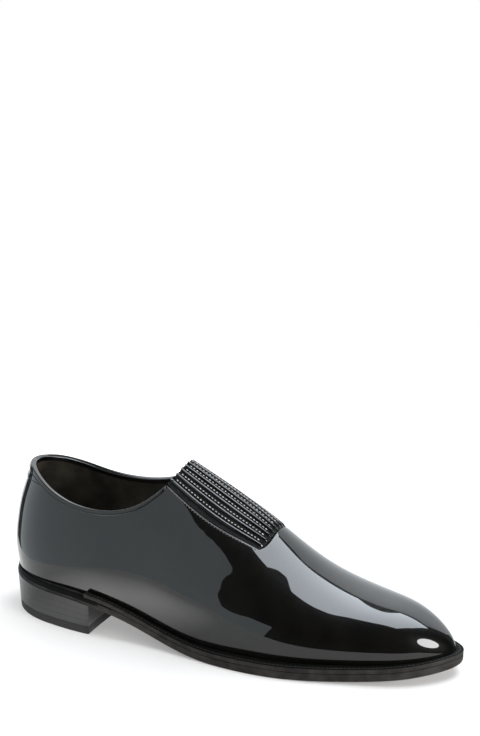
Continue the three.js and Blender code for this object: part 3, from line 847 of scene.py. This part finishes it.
# %% Thickness, and the turned edge round the panel
upper_shape.data.materials.append(patent)
upper_shape.data.materials.append(lining)
thicken(upper_shape, wall, -1, material_offset=1)


def choose_rims(piece, sharp, above):
    """Select the sharp edges whose ends lie higher than `above` over the sole, and open the mesh."""
    only(piece)
    open_mesh()
    bpy.ops.mesh.select_mode(type="EDGE")
    bpy.ops.mesh.select_all(action="DESELECT")
    bpy.ops.mesh.edges_select_sharp(sharpness=math.radians(sharp))
    close_mesh()
    places = np.array([vertex.co for vertex in piece.data.vertices]) / mm + shift
    high = places[:, 2] - sole_top(places[:, 0]) > above
    ends = np.array([edge.vertices for edge in piece.data.edges])
    marked = np.array([edge.select for edge in piece.data.edges])
    marked &= high[ends].all(axis=1)
    piece.data.vertices.foreach_set("select", np.zeros(len(high), bool))
    piece.data.polygons.foreach_set("select", np.zeros(len(piece.data.polygons), bool))
    piece.data.edges.foreach_set("select", marked)
    open_mesh()
    return int(marked.sum())


def round_rims(piece, radius, segments, sharp=50):
    """Bevel the rims that lie well above the sole."""
    print(piece.name, "rim edges:", choose_rims(piece, sharp, 12))
    bpy.ops.mesh.bevel(offset=radius * mm, segments=segments, affect="EDGES", clamp_overlap=True)
    close_mesh()


round_rims(upper_shape, 0.55, 3)
finish_piece(upper_shape, [patent, lining], "patent_leather", "upper")

# %% [markdown]
# ## Topline binding
# The edge of the opening is bound with a folded strip of the same patent leather, stitched through
# just below. The strip starts as a copy of the upper's top three rows. It is thickened until it
# stands equally proud of the leather and of its lining, and its rims are rounded.

# %% Binding
weld(binding_strip)
fold_over = wall + 2 * binding_proud
outwards = 2 * binding_proud / fold_over - 1
thicken(binding_strip, fold_over, outwards)
round_rims(binding_strip, 0.65, 4)
finish_piece(binding_strip, [patent], "binding", "topline_binding")

# %% [markdown]
# ## Tucked panel
# The panel is elastic with nine lengthwise tucks of patent leather, each stitched down on its far
# side, so that it gives over the instep. Tucks could be modelled one by one, but they share one
# cross section: a round fold, a steep fall, a low stitched bead and plain elastic. That section is
# worked out across the panel from a few sizes, and the faces are then shared out to two finishes,
# lacquer on the folds and elastic between them. The beads swell between the needle holes.

# %% One tuck across, in millimetres
first_fold, tuck_share, zone_shift, stitch_pitch = 0.078, 0.105, 0.14, 2.3
fold_top, fold_deep, fold_radius, fold_half, fold_fall = 0.40, 1.25, 0.85, 0.62, 0.34
bead_place, bead_height, bead_width = 1.95, 0.85, 0.42
border_at, border_run, border_deep = 0.90, 0.06, 0.25
vamp_at, vamp_run, vamp_deep = 0.955, 0.04, 0.45
panel_thickness = 0.9
panel_width = 2 * panel_half


def from_fold(side):
    """Millimetres from the fold that a place belongs to, the far side positive."""
    tuck = ((side + 1) / 2 - first_fold) / tuck_share
    nearest = np.clip(np.round(tuck - zone_shift), 0, tuck_count - 1)
    return (tuck - nearest) * tuck_share * panel_width


def tuck_lift(along, side):
    """Height over the leather at a place of the panel."""
    away = from_fold(side)
    fall = eased((np.abs(away) - fold_half) / fold_fall)
    crown = fold_top - np.minimum(np.abs(away), fold_half)**2 / (2 * fold_radius)
    floor_height = fold_top - fold_deep
    x = panel_plan(along, side)[0]
    swell = 0.55 + 0.45 * np.cos(2 * np.pi * x / stitch_pitch)
    bead = bead_height * swell * np.exp(-((away - bead_place) / bead_width)**2)
    border = eased((np.abs(side) - border_at) / border_run)
    height = crown * (1 - fall) + (floor_height + bead) * fall
    height = height * (1 - border) - border_deep * border
    under_vamp = eased((along - vamp_at) / vamp_run)
    return height * (1 - under_vamp) - vamp_deep * under_vamp


# %% Place the panel
roll = np.radians([90, 60, 35, 15])
roll_radius, edge_gap = 0.7, 0.007
panel_rows = 150
fine_steps = np.array([
    -1.30, -0.98, -0.85, -0.72, -0.60, -0.40, -0.20, 0, 0.20, 0.40, 0.60, 0.72, 0.85, 1.00,
    1.20, 1.45, 1.70, 1.95, 2.20, 2.45, 2.75,
])
folds = first_fold + tuck_share * np.arange(tuck_count)
across = (folds[:, None] + fine_steps / panel_width).reshape(-1)
across = np.concatenate([[0.0, 0.015, 0.03, 0.042], across[across < 0.985], [0.985, 1.0]])
side = (2 * np.sort(across) - 1)[None, :] * (1 - edge_gap)
along = np.concatenate([0 * roll, np.linspace(0, 1 - edge_gap, panel_rows)])[:, None]
rolled = np.concatenate([roll, np.zeros(panel_rows)])[:, None]
panel_x, panel_y = panel_plan(along, side)
panel_x = panel_x + roll_radius * (1 - np.sin(rolled)) * (along <= 0)
panel_u, panel_v = station_u(panel_x), across_at(panel_x, panel_y)
panel_lift = tuck_lift(along, side) - roll_radius * (1 - np.cos(rolled))
panel_shape = grid_piece("tucked_panel", skin(panel_u, panel_v, panel_lift))

# %% Share out lacquer and elastic, and thicken
middle = (side[0, 1:] + side[0, :-1]) / 2
lacquered = (np.abs(from_fold(middle)) < fold_half + 0.1) & (np.abs(middle) < 0.93)
panel_shape.data.materials.append(panel_patent)
panel_shape.data.materials.append(elastic)
finish_index = np.tile(np.where(lacquered, 0, 1), len(along) - 1)
panel_shape.data.polygons.foreach_set("material_index", finish_index)
thicken(panel_shape, panel_thickness, 1)
finish_piece(panel_shape, [panel_patent, elastic], "pleated_elastic", "instep_panel", angle=60)

# %% [markdown]
# ## Heel tab
# At the back of the heel a second, thin piece of leather lies over the seam. It reaches nine
# millimetres down from the topline and runs out under the binding on either side. It is a small
# grid over the back seam, a little proud of the upper.

# %% Heel tab
tab_reach, tab_flat, tab_top, tab_deep, tab_shallow, tab_thickness = 36.0, 6, 1.5, 8.8, 2.6, 0.5
tab_columns = 41
half_u = np.linspace(0, station_u(tab_reach), tab_columns)
tab_u = np.concatenate([half_u[::-1], half_u[1:]])
tab_side = np.repeat([-1.0, 1.0], [tab_columns, tab_columns - 1])
run_out = eased((station_x(tab_u) - tab_flat) / (tab_reach - tab_flat))
tab_depth = tab_deep + (tab_shallow - tab_deep) * run_out


def below_topline(u, side, depth):
    """v at a depth in millimetres below the topline, measured on the leather."""
    edge = np.where(side < 0, opening_edge(u, -1), opening_edge(u, 1))
    step = -0.002 * side
    apart = last_point(station_x(u), edge - step) - last_point(station_x(u), edge)
    return edge + side * depth / (np.linalg.norm(apart, axis=-1) / 0.002)


tab_depths = [tab_top + (tab_depth - tab_top) * share for share in np.linspace(0, 1, 9)]
tab_v = np.stack([below_topline(tab_u, tab_side, depth) for depth in tab_depths])
heel_tab = grid_piece("heel_tab", skin(tab_u + 0 * tab_v, tab_v, 0.30))
thicken(heel_tab, tab_thickness, -1)
round_rims(heel_tab, 0.15, 2, sharp=60)
finish_piece(heel_tab, [patent], "patent_leather")

# %% [markdown]
# ## Stitching
# Rows of machine stitches hold the binding, the tab, the panel and its tucks. One stitch is
# modelled from a small ball drawn out to a grain of rice; copies of it are laid end to end along
# a path on the leather, each turned to the path and to the surface, and joined to one piece.

# %% One stitch, and a row of copies
bpy.ops.object.select_all(action="DESELECT")
bpy.ops.mesh.primitive_uv_sphere_add(segments=8, ring_count=5, radius=0.5)
stitch = bpy.context.active_object
stitch.name = "stitch"
open_mesh()
bpy.ops.mesh.select_all(action="SELECT")
bpy.ops.transform.rotate(value=math.radians(90), orient_axis="Y", center_override=(0, 0, 0))
bpy.ops.transform.resize(value=(1.0, 1.0, 0.8))
close_mesh()


def along_path(points, normals, pitch):
    """Places at an even pitch on a path, each with its heading and its upward direction."""
    length = np.concatenate([[0], np.cumsum(np.linalg.norm(np.diff(points, axis=0), axis=1))])
    count = max(1, int(length[-1] / pitch))
    at = (np.arange(count) + 0.5) * length[-1] / count

    def read(rows, where):
        return np.stack([np.interp(where, length, rows[:, axis]) for axis in range(3)], axis=-1)

    ahead = read(points, at + 0.2) - read(points, at - 0.2)
    return read(points, at), ahead, read(normals, at)


def stitch_row(name, paths, pitch, length, width, finish, slot):
    copies = []
    for points, normals in paths:
        for place, ahead, upward in zip(*along_path(points, normals, pitch)):
            x_axis = Vector(ahead).normalized()
            y_axis = Vector(upward).cross(x_axis).normalized()
            axes = Matrix((x_axis * length, y_axis * width, x_axis.cross(y_axis) * width)).transposed()
            copy = stitch.copy()
            copy.data = stitch.data.copy()
            copy.data.transform(Matrix.Translation(Vector(to_frame(place))) @ (axes * mm).to_4x4())
            bpy.context.collection.objects.link(copy)
            copies.append(copy)
    bpy.ops.object.select_all(action="DESELECT")
    for copy in copies:
        copy.select_set(True)
    bpy.context.view_layer.objects.active = copies[0]
    bpy.ops.object.join()
    row = copies[0]
    row.name = row.data.name = name
    print(name, "has", len(copies), "stitches")
    finish_piece(row, [finish], slot)


def on_skin(u, v, out):
    return skin(u, v, out), last_normal(u, v)


def both_sides(u, depth, out):
    """A path on either side, at a depth below the edge of the opening."""
    return [on_skin(u, below_topline(u, side + 0 * u, depth), out) for side in (-1, 1)]


# %% Stitches of the binding, the tab and the panel's seam
quarter_u = np.linspace(station_u(panel_back - 2.0), 0, 160)
collar_paths = both_sides(quarter_u, 2.45, binding_proud + 0.02)
stitch_row("binding_stitches", collar_paths, 1.7, 1.35, 0.7, thread, "binding")

tab_path = on_skin(tab_u, below_topline(tab_u, tab_side, tab_depth - 1.0), 0.32)
stitch_row("tab_stitches", [tab_path], 1.7, 1.35, 0.65, thread, "patent_leather")

seam_u = station_u(np.linspace(panel_back + 1.0, panel_front - 1.0, 80))
seam_paths = both_sides(seam_u, 1.2, 0.05)
stitch_row("panel_seam_stitches", seam_paths, 2.1, 1.3, 0.7, brown_thread, "pleated_elastic")

# %% Stitches of the tucks
tuck_paths = []
run = np.linspace(0.03, 0.93, 90)
bead_line = fold_top - fold_deep + bead_height * 0.9
for fold_place in folds:
    side_at = 2 * (fold_place + bead_place / panel_width) - 1
    path_x, path_y = panel_plan(run, side_at)
    path_u, path_v = station_u(path_x), across_at(path_x, path_y)
    tuck_paths.append(on_skin(path_u, path_v, bead_line + 0.0 * run))
stitch_row("tuck_stitches", tuck_paths, stitch_pitch, 1.35, 0.75, grey_thread_painted_glint, "pleated_elastic")

# %% [markdown]
# ## Welt
# The welt is the strip of leather sewn round the upper's edge, from the waist round the toe, that
# the sole is stitched to. It is swept: a small profile with rounded outer edge and a shallow
# channel for the stitches, carried round the sole. Near the upper it tucks in under the leather.
# Its top is inked black, and its side is inked like the edge of the sole below.

# %% Round the sole
def round_sole(t):
    """Edge of the sole, the feather line beside it and the way inwards; t from heel to heel."""
    outer_side = t <= 0.5
    u = np.where(outer_side, 2 * t, 2 - 2 * t)
    x = sole_length * (0.5 - 0.5 * np.cos(np.pi * u))
    edge = np.stack([x, sole_edge(x, np.where(outer_side, -1.0, 1.0))], axis=-1)
    feather = last_point(station_x(u), np.where(outer_side, 0.0, 1.0))[..., :2]
    ledge = np.linalg.norm(feather - edge, axis=-1)
    return edge, (feather - edge) / ledge[:, None], ledge


def swept(t, profile, base):
    """Points of a profile of (inset, height) columns carried round the sole, rows by station."""
    edge, inwards, _ = round_sole(t)
    place = edge[None] + profile[0][..., None] * inwards[None]
    height = base(place[..., 0]) + profile[1]
    return np.concatenate([place, height[..., None]], axis=-1)


def welt_base(x):
    return sole_top(x) + clearance * 0.4


# %% Welt profile and its stitches
welt_share = np.arccos(1 - 2 * welt_start / sole_length) / np.pi / 2
welt_t = np.linspace(welt_share, 1 - welt_share, 261)
ledge = round_sole(welt_t)[2]
groove = np.minimum(2.6, 0.45 * ledge)
top = welt_thickness
welt_insets = [0.35 + 0 * ledge, 0.05 + 0 * ledge, 0 * ledge, 0.30 + 0 * ledge, 0.9 + 0 * ledge,
               groove - 0.55, groove, groove + 0.55, np.maximum(ledge - 0.8, groove + 0.7),
               ledge + 0.3, ledge + 0.3, 0.35 + 0 * ledge]
welt_heights = [0, 0.45, top - 0.75, top - 0.22, top, top, top - 0.28, top, top + 0.1, top - 0.5, 0, 0]
welt_profile = np.stack(welt_insets), np.array(welt_heights)[:, None] + 0 * ledge
welt_piece = grid_piece("stitched_welt", swept(welt_t, welt_profile, welt_base))
welt_side = np.arange(len(welt_piece.data.polygons)) < 3 * (len(welt_t) - 1)
welt_piece.data.materials.append(welt_ink)
welt_piece.data.materials.append(edge_ink)
welt_piece.data.polygons.foreach_set("material_index", np.where(welt_side, 1, 0))
weld(welt_piece, holes=20, turn=True)
finish_piece(welt_piece, [welt_ink, edge_ink], "welt", "welt")

row_profile = groove[None], (top - 0.16) + 0 * ledge[None]
row_points = swept(welt_t, row_profile, welt_base)[0]
upward = np.tile([0.0, 0.0, 1.0], (len(row_points), 1))
stitch_row("welt_stitches", [(row_points, upward)], 2.6, 1.9, 0.6, welt_thread, "welt")

# %% [markdown]
# ## Outsole
# A leather sole is cut from the bend, its edge trimmed, inked and burnished. Along the forepart
# both corners of the edge are rounded; at the seat, over the heel, the edge leans in towards the
# upper and ends in a small flared step on the heel. The upper part of that edge is a groove inked
# black and darkened further as painted shade for the recess under the upper; it narrows away
# towards the waist. The same sweep makes the sole, and the rows that run on to the middle line
# close it above and below.

# %% Outsole
sole_t = np.linspace(0, 1, 361)
sole_places = round_sole(sole_t)[0]
thick = sole_top(sole_places[:, 0]) - sole_bottom(sole_places[:, 0])
seat_end, seat_run, painted_shade_end, painted_shade_run = 84, 22, 104, 30
seat = eased((seat_end - sole_places[:, 0]) / seat_run)
forepart = [
    (1.6, 1.0), (0.70, 1.0), (0.22, 0.95), (0.0, 0.82), (0.0, 0.45), (0.05, 0.20), (0.40, 0.03), (1.6, 0.0),
]
at_seat = [
    (2.0, 1.0), (1.25, 1.0), (1.0, 0.94), (0.85, 0.70), (0.72, 0.36), (0.15, 0.22), (0.0, 0.10), (0.9, 0.0),
]
insets, heights = [], []
for (front_in, front_up), (seat_in, seat_up) in zip(forepart, at_seat):
    insets.append(front_in + seat * (seat_in - front_in))
    heights.append((front_up + seat * (seat_up - front_up)) * thick)
sole_rim = swept(sole_t, (np.stack(insets), np.stack(heights)), sole_bottom)


def towards_middle(row, share):
    middle = tread_width * sole["swing"](row[:, 0] / sole_length)
    inner = row.copy()
    inner[:, 1] = row[:, 1] + share * (middle - row[:, 1])
    return inner


shares_in = (0.12, 0.35, 0.65, 1.0)
over = [towards_middle(sole_rim[0], share) for share in shares_in[::-1]]
under = [towards_middle(sole_rim[-1], share) for share in shares_in]
outsole = grid_piece("inked_outsole", np.stack([*over, *sole_rim, *under]))
band_row, band_column = np.divmod(np.arange(len(outsole.data.polygons)), len(sole_t) - 1)
# The top rows of the edge at the seat, fewer towards the waist, take the near-black ink: painted shade for
# the recess.
painted_shade_rows = 4 * np.clip((painted_shade_end - sole_places[band_column, 0]) / painted_shade_run, 0, 1)
in_painted_shade_groove = (band_row >= len(over)) & (band_row < len(over) + painted_shade_rows)
outsole.data.materials.append(edge_ink)
outsole.data.materials.append(seat_ink_and_painted_shade)
outsole.data.polygons.foreach_set("material_index", np.where(in_painted_shade_groove, 1, 0))
weld(outsole, turn=True)
finish_piece(outsole, [edge_ink, seat_ink_and_painted_shade], "sole_leather", "outsole")

# %% [markdown]
# ## Heel
# The heel is a stack of leather lifts, pegged, trimmed and inked together, on a rubber top piece.
# The outline is drawn once as a ring. Each lift is that ring pulled up, with a hair-thin groove
# before the next. The straight stack is then settled onto the seat: heights follow the sole above,
# the walls draw in downwards, and the breast leans back.

# %% Heel outline as a ring
def heel_ring(corner=1.2, hollow=1.6):
    """(x, y) places round the heel: along the wall, and back over the slightly hollow breast."""
    wall_u = np.linspace(1, 0, 34)
    x = heel_length * wall_u**2
    x[0] = heel_length - corner
    outer_wall = np.stack([x, sole_edge(x, -1.0)], axis=-1)
    inner_wall = np.stack([x, sole_edge(x, 1.0)], axis=-1)[::-1][1:]
    across = np.linspace(1, -1, 15)
    low, high = sole_edge(heel_length, -1.0), sole_edge(heel_length, 1.0)
    half = (high - low) / 2 - corner * 0.35
    breast = np.stack([heel_length - hollow * (1 - across**2), (low + high) / 2 + across * half], axis=-1)
    return np.concatenate([outer_wall, inner_wall, breast])


ring = heel_ring()
seat_height = float(sole_bottom(0.0))


def settle(places, low, high):
    """Moves a straight stack, 0 to 1 high, between two heights and gives its walls their lean."""
    x, y, share = places[:, 0], places[:, 1], places[:, 2]
    z = low(x) + share * (high(x) - low(x))
    drop = 1 - z / seat_height
    lean = heel_taper + (-breast_lean - heel_taper) * np.sqrt(np.clip(x / heel_length, 0, 1))
    draw_in = heel_taper * drop * round_end(x, heel_round)
    return np.stack([x + drop * lean, y - np.sign(y) * draw_in, z], axis=-1)


# %% Pull up the lifts
def stack_of_lifts(name, lifts, groove_depth, groove_height, low, high):
    bpy.ops.object.select_all(action="DESELECT")
    bpy.ops.mesh.primitive_circle_add(vertices=len(ring), radius=1, fill_type="NGON")
    stack = bpy.context.active_object
    stack.name = stack.data.name = name
    flat = np.column_stack([ring, np.zeros(len(ring))])
    stack.data.vertices.foreach_set("co", flat.reshape(-1))
    stack.data.update()
    middle = (heel_length / 2, 0, 0)
    narrow = 1 - groove_depth / (heel_length / 2)
    open_mesh()
    bpy.ops.mesh.select_all(action="SELECT")
    steps = [(1, 1 / lifts - 2 * groove_height), (narrow, groove_height), (1 / narrow, groove_height)]
    for lift in range(lifts):
        for scale, raised in steps:
            if lift == lifts - 1 and scale != 1:
                continue
            bpy.ops.mesh.extrude_region_move(TRANSFORM_OT_translate={"value": (0, 0, raised)})
            bpy.ops.transform.resize(value=(scale, scale, 1), center_override=middle)
    bpy.ops.mesh.select_all(action="SELECT")
    bpy.ops.mesh.normals_make_consistent(inside=False)
    close_mesh()
    places = np.array([vertex.co for vertex in stack.data.vertices])
    places[:, 2] /= places[:, 2].max()
    stack.data.vertices.foreach_set("co", to_frame(settle(places, low, high)).reshape(-1))
    stack.data.update()
    return stack


lift_low, lift_high = (lambda x: top_piece + 0.1 + 0 * x), (lambda x: sole_bottom(x) - 0.05)
lifts = stack_of_lifts("heel_lifts", 4, 0.05, 0.004, lift_low, lift_high)
finish_piece(lifts, [heel_ink], "heel_leather", "heel_stack", angle=30)

# %% Top piece
tread = stack_of_lifts("heel_top_piece", 1, 0.0, 0.0, lambda x: 0 * x, lambda x: top_piece + 0 * x)
only(tread)
open_mesh()
bpy.ops.mesh.select_mode(type="EDGE")
bpy.ops.mesh.select_all(action="DESELECT")
bpy.ops.mesh.edges_select_sharp(sharpness=math.radians(55))
bpy.ops.mesh.bevel(offset=0.4 * mm, segments=2, affect="EDGES", clamp_overlap=True)
close_mesh()
finish_piece(tread, [rubber], "heel_rubber", "top_piece", angle=30)

# %% [markdown]
# ## Sock
# Inside, a thin leather sock covers the insole from heel to toe. It follows the sole's line, and
# its edge turns up a little where it meets the lining.

# %% Sock
sock_u = np.linspace(0.06, 0.94, 90)
sock_x = station_x(sock_u)
sock_side = np.linspace(-1, 1, 25)[:, None]
sock_gap = wall + 0.9
sock_outer = last_point(sock_x, 0.0)[:, 1] + sock_gap
sock_inner = last_point(sock_x, 1.0)[:, 1] - sock_gap
sock_y = (sock_outer + sock_inner) / 2 + sock_side * (sock_inner - sock_outer) / 2
sock_z = sole_top(sock_x) + clearance + insole_thickness - 0.4 + 0.4 * sock_side**6
sock_points = np.stack(np.broadcast_arrays(sock_x, sock_y, sock_z), axis=-1)
sock = grid_piece("leather_sock", sock_points)
thicken(sock, insole_thickness - 0.6, -1)
finish_piece(sock, [lining], "lining", "insole")
bpy.data.objects.remove(stitch)
